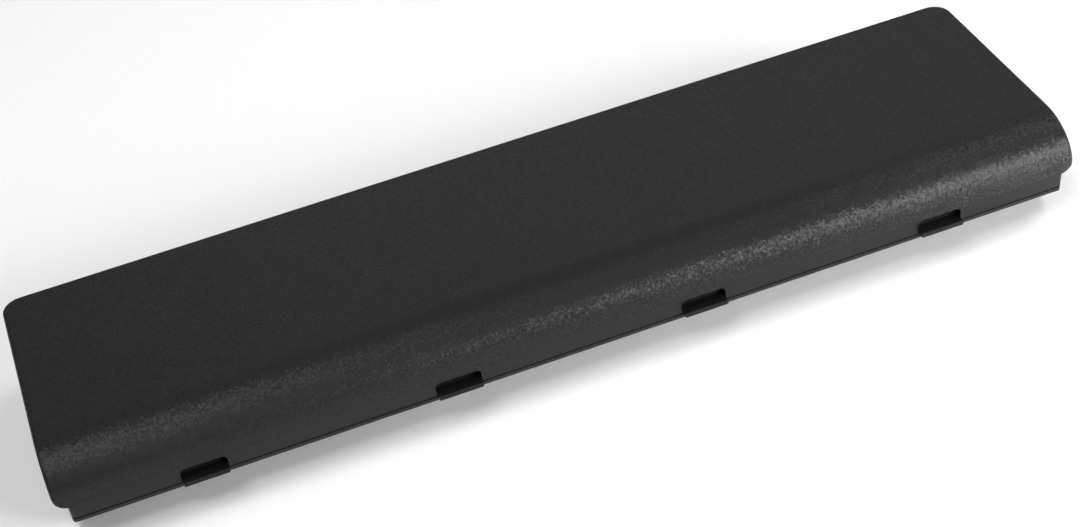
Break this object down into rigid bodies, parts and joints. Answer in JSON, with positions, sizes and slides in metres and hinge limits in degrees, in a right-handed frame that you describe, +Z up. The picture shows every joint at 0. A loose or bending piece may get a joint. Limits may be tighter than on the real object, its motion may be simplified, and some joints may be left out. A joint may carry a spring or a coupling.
{
  "type": "laptop battery pack",
  "caption": "Dark charcoal clip-in battery pack for a notebook computer, with a grained cover rolled over at the front, hook pockets along the front edge and a blade connector at the rear.",
  "frame": {"origin": "middle of the pack's box, on the flat underside that it lies on", "axes": "+X along the pack, with the connector on the +X half; -Y to the front with the hook pockets; +Z up, out of the grained cover"},
  "size_m": [0.205, 0.0568, 0.0206],
  "materials": {
    "cover_plastic": "charcoal moulded plastic with a coarse spark grain, smooth in the band under it",
    "shell_plastic": "charcoal moulded plastic with a fine matt texture",
    "cell_wrap": "plain shrink wrap over a steel can",
    "insulating_paper": "stiff insulating paper",
    "nickel_strip": "rolled nickel strip with weld spots",
    "adhesive_tape": "double-sided tape",
    "board_laminate": "green coated circuit board",
    "chip_package": "black moulded component package",
    "ceramic": "pale ceramic component body",
    "connector_plastic": "black moulded connector plastic",
    "contact_metal": "gold-flashed spring contacts"
  },
  "bodies": {
    "root": {"top_cover": "cover_plastic", "bottom_shell": "shell_plastic", "cell_front_1": "cell_wrap", "cell_front_2": "cell_wrap", "cell_front_3": "cell_wrap", "cell_rear_1": "cell_wrap", "cell_rear_2": "cell_wrap", "cell_rear_3": "cell_wrap", "insulator_rings": "insulating_paper", "strip_negative": "nickel_strip", "strip_middle_1": "nickel_strip", "strip_middle_2": "nickel_strip", "strip_positive": "nickel_strip", "end_paper_left": "insulating_paper", "end_paper_right": "insulating_paper", "adhesive_pads": "adhesive_tape", "control_board": "board_laminate", "gauge_chip": "chip_package", "protector_chip": "chip_package", "charge_switch": "chip_package", "discharge_switch": "chip_package", "sense_resistor": "ceramic", "thermal_fuse": "ceramic", "chip_parts": "ceramic", "thermistor": "chip_package", "connector_housing": "connector_plastic", "connector_contacts": "contact_metal"}
  },
  "joints": []
}
